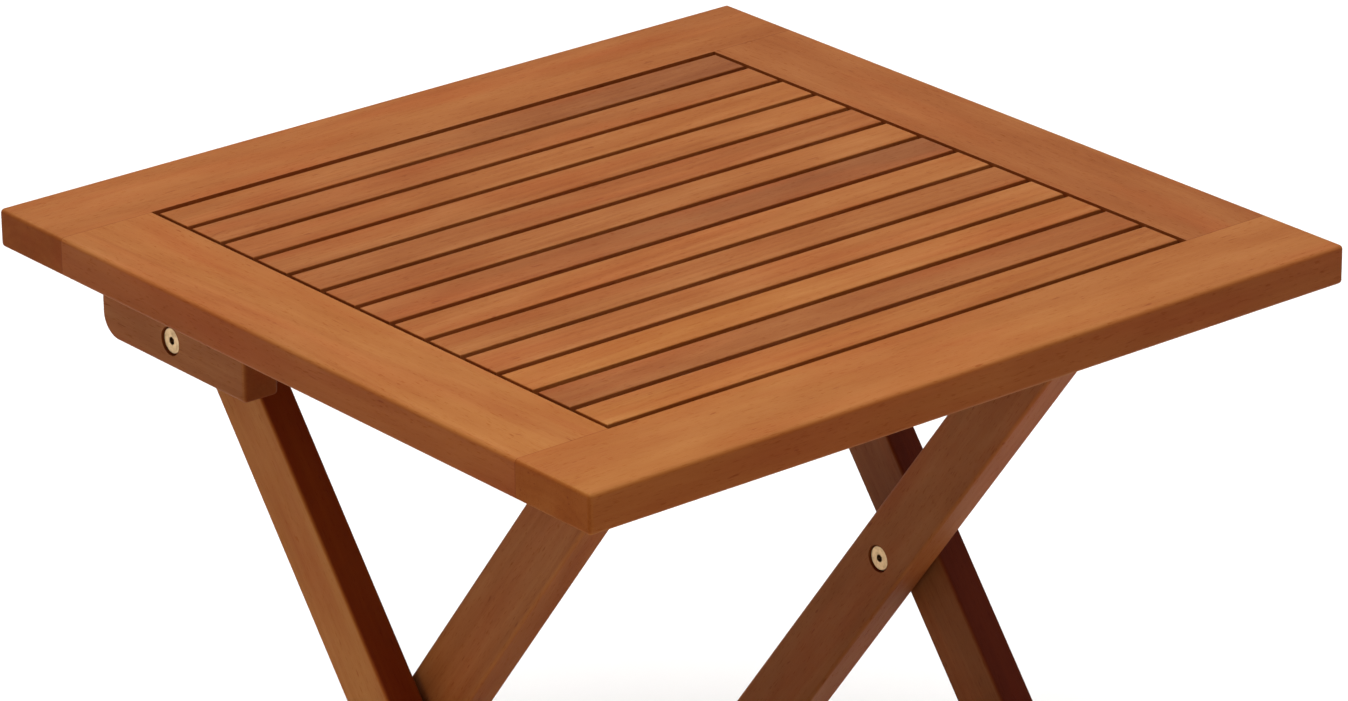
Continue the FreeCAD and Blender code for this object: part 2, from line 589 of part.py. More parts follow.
def make_pivots(hand, side):
    """The hinge and the crossing pivot of one side, each a bolt, a nut and a spacer."""
    inward, outward = (AGAINST_X, ALONG_X) if side > 0 else (ALONG_X, AGAINST_X)
    hinge = (HINGE_PLACE, HINGE_HEIGHT)
    crossing = ("0", f"{HINGE_HEIGHT} / 2")
    head_to_nut = f"Sizes.pivot_gap - 2 * {HEAD_HOLE_DEPTH} - Sizes.thread_room"
    hinge_shank = f"Sizes.cleat_thickness + Sizes.leg_thickness + {head_to_nut}"
    crossing_shank = f"2 * Sizes.leg_thickness + {head_to_nut}"
    cleat_head = f"{side} * ({CLEAT_FACE} - Sizes.head_recess)"
    make_bolt(f"hinge_bolt_{hand}", (cleat_head, *hinge), inward, hinge_shank)
    leg_head = f"{side} * ({OUTER_LEG_FACE} - Sizes.leg_thickness + Sizes.head_recess)"
    make_nut(f"hinge_nut_{hand}", (leg_head, *hinge), outward)
    inner_head = f"{side} * ({INNER_CLEAR} + Sizes.head_recess)"
    make_bolt(f"crossing_bolt_{hand}", (inner_head, *crossing), outward, crossing_shank)
    outer_head = f"{side} * ({OUTER_LEG_FACE} - Sizes.head_recess)"
    make_nut(f"crossing_nut_{hand}", (outer_head, *crossing), inward)
    for name, low, high, at in (
        ("hinge", OUTER_LEG_FACE, f"({OUTER_LEG_FACE} + Sizes.pivot_gap)", hinge),
        ("crossing", INNER_LEG_FACE, f"({INNER_LEG_FACE} + Sizes.pivot_gap)", crossing),
    ):
        start = f"{low} + Sizes.spacer_play" if side > 0 else f"Sizes.spacer_play - {high}"
        make_spacer(f"{name}_spacer_{hand}", (start, *at))


# ---------------------------------------------------------------- screws

def make_screws():
    """The four sets of wood screws."""
    slat_screws = []
    catch_screws = []
    cleat_screws = []
    for side in (-1, 1):
        for number in range(slat_count):
            at = (f"{side} * {BATTEN_PLACE} - Sizes.screw_offset", slat_place(number), UNDERSIDE)
            slat_screws.append(screw(at, UPRIGHT, SLAT_SCREW_LENGTH, "small"))
        for spread in (-1, 1):
            at = (
                f"{side} * {BATTEN_PLACE} + Sizes.screw_offset",
                f"{spread} * Sizes.catch_screw_place - {HINGE_PLACE}",
                f"{HINGE_HEIGHT} + {SEAT_RADIUS}",
            )
            catch_screws.append(screw(at, UPRIGHT, CATCH_SCREW_LENGTH, "small"))
            at = (
                f"{side} * ({CLEAT_FACE} - Sizes.cleat_thickness / 2)",
                f"{HINGE_PLACE} + {spread} * Sizes.cleat_screw_spread",
                f"{UNDERSIDE} - Sizes.cleat_depth + Sizes.cleat_screw_recess",
            )
            cleat_screws.append(screw(at, UPRIGHT, CLEAT_SCREW_LENGTH, "cleat"))
    screw_set("slat_screws", slat_screws)
    screw_set("catch_screws", catch_screws)
    screw_set("cleat_screws", cleat_screws)


def make_stretcher_screws():
    """Four screws through the outer stretcher, square to the leaning legs."""
    screws = []
    sine = f"sin({LEG_LEAN})"
    cosine = f"cos({LEG_LEAN})"
    front = "(-Sizes.leg_width / 2 - Sizes.stretcher_thickness)"
    for side in (-1, 1):
        for spread in (-1, 1):
            up = f"({stretcher_screw_place(spread)})"
            at = (
                f"{side} * ({OUTER_LEG_FACE} - Sizes.leg_thickness / 2)",
                f"{front} * {cosine} + {up} * {sine} - {HINGE_PLACE}",
                f"{up} * {cosine} - {front} * {sine}",
            )
            piece = screw(at, ALONG_Y, STRETCHER_SCREW_LENGTH, "small")
            for cylinder in (piece.Base, piece.Tool):
                cylinder.setExpression("Placement.Rotation.Angle", f"-(90 deg + {LEG_LEAN})")
            screws.append(piece)
    screw_set("stretcher_screws", screws)


# ---------------------------------------------------------------- the table

slat_count = int(sheet.slat_count)
make_rail("front_rail", -1)
make_rail("back_rail", 1)
for number in range(slat_count):
    make_slat(number)
for hand, side in (("left", -1), ("right", 1)):
    make_stile(f"{hand}_stile", side)
    make_batten(f"{hand}_batten", side)
    make_cleat(f"{hand}_cleat", side)
    make_catch(f"{hand}_catch", side)
    make_outer_leg(f"outer_leg_{hand}", side)
    make_inner_leg(f"inner_leg_{hand}", side)
    make_pivots(hand, side)
make_outer_stretcher()
make_inner_stretcher()
make_top_bar()
make_screws()
make_stretcher_screws()
doc.recompute()

faults = [thing.Label for thing in doc.Objects if {"Invalid", "Error"} & set(thing.State)]
if faults:
    raise RuntimeError(f"failed objects: {faults}")
for node in nodes:
    if node.Shape.isNull() or not node.Shape.isValid() or not node.Shape.Solids:
        raise RuntimeError(f"bad shape: {node.Label}")

os.makedirs(NODE_FOLDER, exist_ok=True)
for node in nodes:
    node.Shape.exportStep(os.path.join(NODE_FOLDER, f"{node.Label}.step"))
    print(f"{node.Label}: {len(node.Shape.Solids)} solid(s), {node.Shape.Volume / 1000:.1f} cm3")
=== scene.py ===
"""Looks of a folding slatted side table: oiled wood, plated fittings, floor, light and camera.

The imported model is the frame. Its boards, bolts and spacers stay as they are and get their
finishes here. The plain screws are replaced by threaded ones with cross recesses.
All lengths are in metres unless a name says millimetres.
"""

import json
import logging
import math
from collections.abc import Iterable
from dataclasses import dataclass, field
from enum import Enum

import bmesh
import bpy
from mathutils import Matrix, Quaternion, Vector

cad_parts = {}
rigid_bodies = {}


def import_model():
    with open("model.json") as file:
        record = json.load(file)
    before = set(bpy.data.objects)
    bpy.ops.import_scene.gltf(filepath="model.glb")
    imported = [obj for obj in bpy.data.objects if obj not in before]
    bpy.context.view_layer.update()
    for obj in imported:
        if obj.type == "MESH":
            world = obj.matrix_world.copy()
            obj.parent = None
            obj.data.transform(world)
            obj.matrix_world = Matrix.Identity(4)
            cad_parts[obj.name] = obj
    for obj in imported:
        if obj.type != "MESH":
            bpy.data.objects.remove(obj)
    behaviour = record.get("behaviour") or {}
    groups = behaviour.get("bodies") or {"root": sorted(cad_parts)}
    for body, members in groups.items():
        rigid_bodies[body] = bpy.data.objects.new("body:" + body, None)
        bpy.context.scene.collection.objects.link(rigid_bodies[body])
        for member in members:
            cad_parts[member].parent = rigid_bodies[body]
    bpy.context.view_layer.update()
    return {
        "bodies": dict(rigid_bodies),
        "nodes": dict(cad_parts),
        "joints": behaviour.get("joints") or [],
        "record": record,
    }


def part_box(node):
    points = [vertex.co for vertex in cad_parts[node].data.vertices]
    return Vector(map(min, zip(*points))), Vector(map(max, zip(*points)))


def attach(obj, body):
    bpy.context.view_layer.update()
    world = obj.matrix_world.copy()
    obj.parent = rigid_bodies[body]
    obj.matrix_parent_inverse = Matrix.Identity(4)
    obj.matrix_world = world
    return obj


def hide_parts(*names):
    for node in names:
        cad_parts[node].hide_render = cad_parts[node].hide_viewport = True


MM = 0.001
X_AXIS = Vector((1, 0, 0))
Y_AXIS = Vector((0, 1, 0))
Z_AXIS = Vector((0, 0, 1))

log = logging.getLogger("folding_table")


# ------------------------------------------------------------------ shared helpers

def linear(colour: str) -> tuple[float, float, float, float]:
    """Turn an sRGB hex colour into the linear values that shaders take.

    Args:
        colour: six hex digits after a hash sign.

    Returns:
        Linear red, green, blue and an alpha of one.
    """
    shares = [int(colour[place:place + 2], 16) / 255 for place in (1, 3, 5)]
    red, green, blue = (
        share / 12.92 if share <= 0.04045 else ((share + 0.055) / 1.055) ** 2.4 for share in shares
    )
    return red, green, blue, 1.0


def add_node(
    tree: bpy.types.NodeTree, kind: str, inputs: dict[str | int, object], **settings: object
) -> bpy.types.Node:
    """Add a shader node with its settings, values and links.

    Args:
        tree: The node tree that gets the node.
        kind: The node's type without its ShaderNode prefix.
        inputs: For each input, by name or number, its value or the output that feeds it.
        **settings: The node's own properties.

    Returns:
        The new node.
    """
    node = tree.nodes.new("ShaderNode" + kind)
    for name, setting in settings.items():
        setattr(node, name, setting)
    for key, source in inputs.items():
        if isinstance(source, bpy.types.NodeSocket):
            tree.links.new(source, node.inputs[key])
        else:
            node.inputs[key].default_value = source
    return node


def new_material(name: str) -> tuple[bpy.types.Material, bpy.types.NodeTree, bpy.types.Node]:
    """Start a material with one principled surface.

    Args:
        name: What the material is.

    Returns:
        The material, its node tree and its surface shader.
    """
    material = bpy.data.materials.new(name)
    material.use_nodes = True
    return material, material.node_tree, material.node_tree.nodes["Principled BSDF"]


def add_object(name: str, mesh: bpy.types.Mesh) -> bpy.types.Object:
    """Put a mesh into the scene.

    Args:
        name: The object's name.
        mesh: Its mesh.

    Returns:
        The object.
    """
    thing = bpy.data.objects.new(name, mesh)
    bpy.context.scene.collection.objects.link(thing)
    return thing


def mesh_of(name: str, shape: bmesh.types.BMesh) -> bpy.types.Mesh:
    """Turn a finished bmesh into a mesh and free it.

    Args:
        name: The mesh's name.
        shape: The finished bmesh.

    Returns:
        The mesh.
    """
    mesh = bpy.data.meshes.new(name)
    shape.to_mesh(mesh)
    shape.free()
    return mesh


# ------------------------------------------------------------------ finishes

class Sawing(Enum):
    """How a board was sawn from the log: where the heart lies from the board's middle, in mm.

    The first number is across the board and the second through its thickness. A heart far
    below a flat sawn board gives wide arched figure, one at the side straight close lines.
    """

    FLAT = (9.0, -46.0)
    RIFT = (-52.0, -44.0)
    QUARTER = (-78.0, 7.0)


class Timber(Enum):
    """How deep a colour the timber grew under the same oil, from sapwood to heartwood."""

    HONEY = "#9E602A"
    TAN = "#945829"
    CHESTNUT = "#8A4F24"
    UMBER = "#7C4622"


@dataclass(frozen=True)
class Lie:
    """How a board lies in the table.

    Attributes:
        along: The direction of its fibres.
        through: The direction of its thickness.
    """

    along: Vector
    through: Vector

    def turn(self) -> Matrix:
        """The turn that brings the fibres onto X and the thickness onto Z."""
        return Matrix((self.along, self.through.cross(self.along), self.through))


@dataclass(frozen=True)
class OiledAcacia:
    """Acacia, planed, sanded and wiped with tinted oil, which gives a warm satin red-brown.

    The growth rings show as faint soft bands, the fibres as fine streaks and the open pores
    as short dark dashes. End grain drinks more oil and is darker, and the eased edges, where
    hands rub the oil off, are lighter and drier.

    Attributes:
        near: Timber at the low end of the fibres.
        far: Timber at the high end of the fibres.
        sawing: How the board was cut.
        ring_mm: Width of a growth ring.
        contrast: How strongly rings and fibres show, about one for plain wood.
        wear: How much lighter the rubbed edges are.
        edge_oil_and_shade: How much darker the sawn edges are than the planed faces: partly deeper oil, and
            at high values painted shade.
        roughness: Of the oiled face, between a waxed and a bare board.
        flush: The pinker heartwood that shows through in long patches.
    """

    near: Timber
    far: Timber
    sawing: Sawing = Sawing.RIFT
    ring_mm: float = 5.5
    contrast: float = 1.0
    wear: float = 0.08
    edge_oil_and_shade: float = 0.14
    roughness: float = 0.58
    flush: str = "#97491D"

    # Sizes along, across and through the fibres, in mm. Real pores are about 0.2 mm wide:
    # these are drawn at 0.7 mm, the finest that shows at this distance.
    WANDER_MM = (310.0, 46.0, 46.0)
    CLOUD_MM = (85.0, 26.0, 26.0)
    FLUSH_MM = (190.0, 30.0, 30.0)
    STREAK_MM = (120.0, 3.2, 3.2)
    FIBRE_MM = (34.0, 0.9, 0.9)
    PORE_MM = (6.0, 0.7, 0.7)
    FLECK_MM = (11.0, 1.9, 1.9)
    WANDER_DEPTH = 9.0 * MM
    RUNOUT = (0.0, math.radians(1.1), math.radians(-0.8))
    # Where on each noise a pore, a fleck or a redder patch starts and is full.
    PORE_RANGE = (0.66, 0.78)
    FLECK_RANGE = (0.79, 0.86)
    FLUSH_RANGE = (0.46, 0.78)
    # How far a face has turned where end grain, or a rubbed arris, starts and is full.
    END_RANGE = (0.35, 0.95)
    ARRIS_RANGE = (0.04, 0.22)
    # A glue line at a shoulder: how far before it the dark film starts and is full.
    GLUE_FILM = (0.7 * MM, 0.2 * MM)
    EDGE_FLUSH = 0.25
    OIL_IOR = 1.45
    SHEEN = 0.10
    RELIEF = 0.16 * MM

    def lumps(
        self, tree: bpy.types.NodeTree, point: bpy.types.NodeSocket, size_mm: tuple[float, ...], seed: float,
        detail: float = 2.0,
    ) -> bpy.types.NodeSocket:
        """Noise whose lumps have a real size along, across and through the fibres.

        Args:
            tree: The node tree.
            point: The place in the board, X along the fibres.
            size_mm: The lumps' three sizes.
            seed: Sets one board's pattern apart from another's.
            detail: How many finer layers are added.

        Returns:
            A value from 0 to 1, about one half on average.
        """
        scale = [1 / (size * MM) for size in size_mm]
        squeezed = add_node(tree, "Mapping", {
            0: point, "Location": (seed, seed * 0.7, seed * 0.3), "Scale": scale,
        })
        noise = add_node(tree, "TexNoise", {"Vector": squeezed.outputs[0], "Scale": 1.0, "Detail": detail})
        return noise.outputs["Fac"]

    def material(
        self, name: str, lie: Lie, low: Vector, high: Vector, seed: float, shoulder: float = 0.0
    ) -> bpy.types.Material:
        """Make the wood of one board, with its own figure.

        Args:
            name: The material's name.
            lie: How the board lies.
            low: The board's lowest corner.
            high: Its highest corner.
            seed: Sets one board's figure apart from another's.
            shoulder: Half the length between glued shoulders, or zero without them.

        Returns:
            The material.
        """
        material, tree, surface = new_material(name)
        turn = lie.turn()
        centre = (low + high) / 2
        angles = turn.to_euler()
        texture = add_node(tree, "TexCoord", {})
        board = add_node(tree, "Mapping", {
            0: texture.outputs["Object"], "Location": -(turn @ centre), "Rotation": angles,
        }).outputs[0]

        # Fibres are never dead straight: the whole pattern wanders by a few millimetres.
        wander = self.lumps(tree, board, self.WANDER_MM, seed, 1.0)
        drift = add_node(tree, "MapRange", {
            0: wander, "To Min": -self.WANDER_DEPTH, "To Max": self.WANDER_DEPTH,
        })
        sideways = add_node(tree, "CombineXYZ", {"Y": drift.outputs[0], "Z": drift.outputs[0]})
        grown = add_node(tree, "VectorMath", {0: board, 1: sideways.outputs[0]}, operation="ADD").outputs[0]

        # Growth rings are shells about the heart, so every face shows its own cut through them.
        across_mm, through_mm = self.sawing.value
        heart = add_node(tree, "Mapping", {
            0: grown, "Location": (0, -across_mm * MM, -through_mm * MM), "Rotation": self.RUNOUT,
        })
        flat = add_node(tree, "VectorMath", {0: heart.outputs[0], 1: (0, 1, 1)}, operation="MULTIPLY")
        radius = add_node(tree, "VectorMath", {0: flat.outputs[0]}, operation="LENGTH")
        rings = add_node(tree, "TexNoise", {
            "W": radius.outputs["Value"], "Scale": 1 / (self.ring_mm * MM), "Detail": 2.0, "Roughness": 0.6,
        }, noise_dimensions="1D").outputs["Fac"]

        cloud = self.lumps(tree, grown, self.CLOUD_MM, seed + 3.1, 2.0)
        streak = self.lumps(tree, grown, self.STREAK_MM, seed + 5.7, 3.0)
        fibre = self.lumps(tree, grown, self.FIBRE_MM, seed + 8.3, 2.0)
        pore_field = self.lumps(tree, grown, self.PORE_MM, seed + 11.9, 0.0)
        pore = add_node(tree, "MapRange", {
            0: pore_field, "From Min": self.PORE_RANGE[0], "From Max": self.PORE_RANGE[1],
        }).outputs[0]
        fleck_field = self.lumps(tree, grown, self.FLECK_MM, seed + 14.2, 0.0)
        fleck = add_node(tree, "MapRange", {
            0: fleck_field, "From Min": self.FLECK_RANGE[0], "From Max": self.FLECK_RANGE[1],
        }).outputs[0]

        # How far the surface faces along the fibres, which is end grain, and how far it
        # turns from a broad face to an edge, which is a rubbed arris.
        facing = add_node(tree, "Mapping", {
            0: texture.outputs["Normal"], "Rotation": angles,
        }, vector_type="VECTOR")
        sides = add_node(tree, "SeparateXYZ", {0: facing.outputs[0]})
        along_share = add_node(tree, "Math", {0: sides.outputs["X"]}, operation="ABSOLUTE")
        end_grain = add_node(tree, "MapRange", {
            0: along_share.outputs[0], "From Min": self.END_RANGE[0], "From Max": self.END_RANGE[1],
        }, interpolation_type="SMOOTHSTEP").outputs[0]
        edge = add_node(tree, "Math", {
            0: sides.outputs["Y"], 1: sides.outputs["Y"],
        }, operation="MULTIPLY").outputs[0]
        square = add_node(tree, "Math", {0: sides.outputs["Z"], 1: sides.outputs["Z"]}, operation="MULTIPLY")
        rest = add_node(tree, "Math", {0: 1.0, 1: square.outputs[0]}, operation="SUBTRACT")
        turned = add_node(tree, "Math", {0: square.outputs[0], 1: rest.outputs[0]}, operation="MULTIPLY")
        arris = add_node(tree, "MapRange", {
            0: turned.outputs[0], "From Min": self.ARRIS_RANGE[0], "From Max": self.ARRIS_RANGE[1],
        }, interpolation_type="SMOOTHSTEP").outputs[0]

        # The tone changes slowly from one end of the board to the other.
        length = abs((turn @ (high - low)).x)
        spot = add_node(tree, "SeparateXYZ", {0: board})
        share = add_node(tree, "MapRange", {
            0: spot.outputs["X"], "From Min": -length / 2, "From Max": length / 2,
        })
        stray = add_node(tree, "MapRange", {0: wander, "To Min": -0.5, "To Max": 0.5})
        blend = add_node(tree, "Math", {
            0: share.outputs[0], 1: stray.outputs[0],
        }, operation="ADD", use_clamp=True)
        timber = add_node(tree, "Mix", {
            0: blend.outputs[0], 6: linear(self.near.value), 7: linear(self.far.value),
        }, data_type="RGBA").outputs[2]
        patches = self.lumps(tree, grown, self.FLUSH_MM, seed + 17.6, 2.0)
        flushed = add_node(tree, "MapRange", {
            0: patches, "From Min": self.FLUSH_RANGE[0], "From Max": self.FLUSH_RANGE[1], "To Max": 0.45,
        })
        reddened = self.sum_of(tree, 0.0, ((flushed.outputs[0], 0.0, 1.0), (edge, 0.0, self.EDGE_FLUSH)))
        body = add_node(tree, "Mix", {
            0: reddened, 6: timber, 7: linear(self.flush),
        }, data_type="RGBA").outputs[2]

        # Darker wood is also redder, as a power of the colour makes it. The ends drink more oil than
        # the planed faces, and the sawn edges are darker partly as deeper oil and partly as painted shade.
        depth = self.sum_of(tree, 1.0, (
            (rings, 0.5, 0.16 * self.contrast), (cloud, 0.5, 0.34 * self.contrast),
            (streak, 0.5, 0.13 * self.contrast), (fibre, 0.5, 0.07 * self.contrast),
            (pore, 0.0, 0.10), (fleck, 0.0, 0.20), (end_grain, 0.0, 0.28), (edge, 0.0, self.edge_oil_and_shade),
            (arris, 0.0, -self.wear),
        ))
        if shoulder:
            reach = add_node(tree, "Math", {0: spot.outputs["X"]}, operation="ABSOLUTE")
            glue_line = add_node(tree, "MapRange", {
                0: reach.outputs[0],
                "From Min": shoulder - self.GLUE_FILM[0], "From Max": shoulder - self.GLUE_FILM[1],
            }).outputs[0]
            depth = self.sum_of(tree, 0.0, ((depth, 0.0, 1.0), (glue_line, 0.0, 0.35)))
        colour = add_node(tree, "Gamma", {"Color": body, "Gamma": depth})

        # Open pores and end grain stay rougher than the sealed face.
        gloss = self.sum_of(tree, self.roughness, (
            (fibre, 0.5, 0.12), (cloud, 0.5, 0.10), (pore, 0.0, 0.15), (end_grain, 0.0, 0.16),
            (arris, 0.0, 0.06),
        ))
        relief = self.sum_of(tree, 0.5, (
            (fibre, 0.5, 0.5), (streak, 0.5, 0.35), (pore, 0.0, -0.8), (fleck, 0.0, -0.3),
        ))
        bump = add_node(tree, "Bump", {"Height": relief, "Distance": self.RELIEF, "Strength": 0.55})
        surface.inputs["IOR"].default_value = self.OIL_IOR
        surface.inputs["Specular IOR Level"].default_value = self.SHEEN
        tree.links.new(colour.outputs[0], surface.inputs["Base Color"])
        tree.links.new(gloss, surface.inputs["Roughness"])
        tree.links.new(bump.outputs[0], surface.inputs["Normal"])
        return material

    @staticmethod
    def sum_of(
        tree: bpy.types.NodeTree, start: float, terms: Iterable[tuple[bpy.types.NodeSocket, float, float]]
    ) -> bpy.types.NodeSocket:
        """Add up patterns, each less its average and times its weight.

        Args:
            tree: The node tree.
            start: The value where every pattern is at its average.
            terms: The pattern, its average and its weight.

        Returns:
            The sum.
        """
        total: bpy.types.NodeSocket | float = start - sum(mean * weight for _, mean, weight in terms)
        for pattern, _, weight in terms:
            total = add_node(
                tree, "Math", {0: pattern, 1: weight, 2: total}, operation="MULTIPLY_ADD"
            ).outputs[0]
        return total


@dataclass(frozen=True)
class SatinBrass:
    """Brass plating on turned steel, lacquered: a pale gold with fine turning rings.

    Attributes:
        name: The material's name.
        colour: The plating, with a little tarnish mixed in.
        tarnish: The darker film that gathers in patches.
        socket_shade: Painted shade in the hexagon socket, a near black brown.
        socket_mm: From the pivot to a flat and to a corner of the socket.
        ring_mm: Spacing of the turning marks. Real ones are about 0.1 mm apart: these are
            drawn coarser so that they show.
        ring_height_mm: Height of the turning marks.
        patch_mm: Size of the tarnish patches.
    """

    name: str = "satin brass plate"
    colour: str = "#D2B084"
    tarnish: str = "#8A6A45"
    socket_shade: str = "#2E1C10"
    socket_mm: tuple[float, float] = (2.4, 2.85)
    ring_mm: float = 0.45
    ring_height_mm: float = 0.01
    patch_mm: float = 3.5

    # A ring pattern of scale one repeats at this distance, in metres.
    RING_REPEAT = math.pi / 10

    def material(self, pivot: Vector) -> bpy.types.Material:
        """Make the plating with its rings about one pivot that runs along X.

        Args:
            pivot: A point on the pivot's line.

        Returns:
            The material.
        """
        material, tree, surface = new_material(self.name)
        texture = add_node(tree, "TexCoord", {})
        centred = add_node(tree, "Mapping", {0: texture.outputs["Object"], "Location": -pivot})
        rings = add_node(tree, "TexWave", {
            "Vector": centred.outputs[0], "Scale": self.RING_REPEAT / (self.ring_mm * MM), "Distortion": 0.4,
        }, wave_type="RINGS", rings_direction="X")
        patches = add_node(tree, "TexNoise", {
            "Vector": centred.outputs[0], "Scale": 1 / (self.patch_mm * MM), "Detail": 4.0,
        })
        film = add_node(tree, "MapRange", {
            0: patches.outputs["Fac"], "From Min": 0.42, "From Max": 0.75, "To Max": 0.6,
        })
        colour = add_node(tree, "Mix", {
            0: film.outputs[0], 6: linear(self.colour), 7: linear(self.tarnish),
        }, data_type="RGBA")
        spoke = add_node(tree, "VectorMath", {0: centred.outputs[0], 1: (0, 1, 1)}, operation="MULTIPLY")
        reach = add_node(tree, "VectorMath", {0: spoke.outputs[0]}, operation="LENGTH")
        flat, corner = self.socket_mm
        # Painted shade: inside the hexagon socket the plating is darkened to a near black brown, standing in
        # for the hole's shadow.
        socket_shade_mask = add_node(tree, "MapRange", {
            0: reach.outputs["Value"], "From Min": flat * MM, "From Max": corner * MM,
            "To Min": 0.9, "To Max": 0.0,
        })
        colour = add_node(tree, "Mix", {
            0: socket_shade_mask.outputs[0], 6: colour.outputs[2], 7: linear(self.socket_shade),
        }, data_type="RGBA")
        gloss = add_node(tree, "MapRange", {0: patches.outputs["Fac"], "To Min": 0.24, "To Max": 0.46})
        bump = add_node(tree, "Bump", {
            "Height": rings.outputs["Fac"], "Distance": self.ring_height_mm * MM, "Strength": 0.4,
        })
        surface.inputs["Metallic"].default_value = 1.0
        tree.links.new(colour.outputs[2], surface.inputs["Base Color"])
        tree.links.new(gloss.outputs[0], surface.inputs["Roughness"])
        tree.links.new(bump.outputs[0], surface.inputs["Normal"])
        return material


@dataclass(frozen=True)
class ZincPlate:
    """Zinc plating with a clear passive film: pale grey steel, faintly clouded.

    Attributes:
        name: The material's name.
        bright: Freshly plated metal.
        dull: The clouded film.
        cloud_mm: Size of its clouds.
    """

    name: str = "zinc plated steel"
    bright: str = "#C9CBCE"
    dull: str = "#8E9196"
    cloud_mm: float = 2.4

    def material(self) -> bpy.types.Material:
        """Make the plating.

        Returns:
            The material.
        """
        material, tree, surface = new_material(self.name)
        texture = add_node(tree, "TexCoord", {})
        cloud = add_node(tree, "TexNoise", {
            "Vector": texture.outputs["Object"], "Scale": 1 / (self.cloud_mm * MM), "Detail": 4.0,
        })
        colour = add_node(tree, "Mix", {
            0: cloud.outputs["Fac"], 6: linear(self.bright), 7: linear(self.dull),
        }, data_type="RGBA")
        gloss = add_node(tree, "MapRange", {0: cloud.outputs["Fac"], "To Min": 0.22, "To Max": 0.5})
        surface.inputs["Metallic"].default_value = 1.0
        tree.links.new(colour.outputs[2], surface.inputs["Base Color"])
        tree.links.new(gloss.outputs[0], surface.inputs["Roughness"])
        return material


@dataclass(frozen=True)
class MouldedNylon:
    """Nylon, injection moulded and dyed through: near black, matt, with a fine spark texture.

    Attributes:
        name: The material's name.
        colour: The dyed plastic.
        scuffed: The same where it rubs on wood.
        rub_mm: Size of the scuffed patches.
        spark_mm: Grain of the spark texture that the mould leaves.
        ior: Of nylon.
    """

    name: str = "moulded nylon"
    colour: str = "#2A2826"
    scuffed: str = "#4A4541"
    rub_mm: float = 3.0
    spark_mm: float = 0.25
    ior: float = 1.53

    def material(self) -> bpy.types.Material:
        """Make the plastic.

        Returns:
            The material.
        """
        material, tree, surface = new_material(self.name)
        texture = add_node(tree, "TexCoord", {})
        rub = add_node(tree, "TexNoise", {
            "Vector": texture.outputs["Object"], "Scale": 1 / (self.rub_mm * MM), "Detail": 3.0,
        })
        grit = add_node(tree, "TexNoise", {
            "Vector": texture.outputs["Object"], "Scale": 1 / (self.spark_mm * MM),
        })
        colour = add_node(tree, "Mix", {
            0: rub.outputs["Fac"], 6: linear(self.colour), 7: linear(self.scuffed),
        }, data_type="RGBA")
        gloss = add_node(tree, "MapRange", {0: rub.outputs["Fac"], "To Min": 0.38, "To Max": 0.6})
        bump = add_node(tree, "Bump", {"Height": grit.outputs["Fac"], "Distance": 0.02 * MM, "Strength": 0.5})
        surface.inputs["IOR"].default_value = self.ior
        tree.links.new(colour.outputs[2], surface.inputs["Base Color"])
        tree.links.new(gloss.outputs[0], surface.inputs["Roughness"])
        tree.links.new(bump.outputs[0], surface.inputs["Normal"])
        return material


@dataclass(frozen=True)
class StudioPaint:
    """Matt emulsion on a smooth floor: pale, even and without a reflection.

    Attributes:
        name: The material's name.
        colour: The paint.
        roller_mm: Size of the faint stipple that a roller leaves.
    """

    name: str = "matt studio paint"
    colour: str = "#F1F1F0"
    roller_mm: float = 4.0

    def material(self) -> bpy.types.Material:
        """Make the paint.

        Returns:
            The material.
        """
        material, tree, surface = new_material(self.name)
        texture = add_node(tree, "TexCoord", {})
        stipple = add_node(tree, "TexNoise", {
            "Vector": texture.outputs["Object"], "Scale": 1 / (self.roller_mm * MM), "Detail": 2.0,
        })
        gloss = add_node(tree, "MapRange", {0: stipple.outputs["Fac"], "To Min": 0.8, "To Max": 0.95})
        surface.inputs["Base Color"].default_value = linear(self.colour)
        surface.inputs["Specular IOR Level"].default_value = 0.2
        tree.links.new(gloss.outputs[0], surface.inputs["Roughness"])
        return material


# ------------------------------------------------------------------ sub-assemblies

@dataclass
class Joinery:
    """Boards of one sub-assembly, each finished as its own piece of timber.

    Attributes:
        frame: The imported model.
    """

    frame: dict

    def finish_board(self, name: str, wood: OiledAcacia, lie: Lie, shoulder: float = 0.0) -> None:
        """Give one board its own timber.

        Args:
            name: The board's node.
            wood: Its wood.
            lie: How it lies.
            shoulder: Half the length between its glued shoulders, or zero.
        """
        low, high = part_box(name)
        # A board's place in the table, spread out, is its place in the pile of timber.
        seed = 7.3 * sum(ord(letter) * (place + 1) for place, letter in enumerate(name)) % 97
        material = wood.material(f"oiled acacia {name}", lie, low, high, seed, shoulder)
        for material_slot in self.frame["nodes"][name].material_slots:
            material_slot.material = material
        log.info("board %s finished", name)


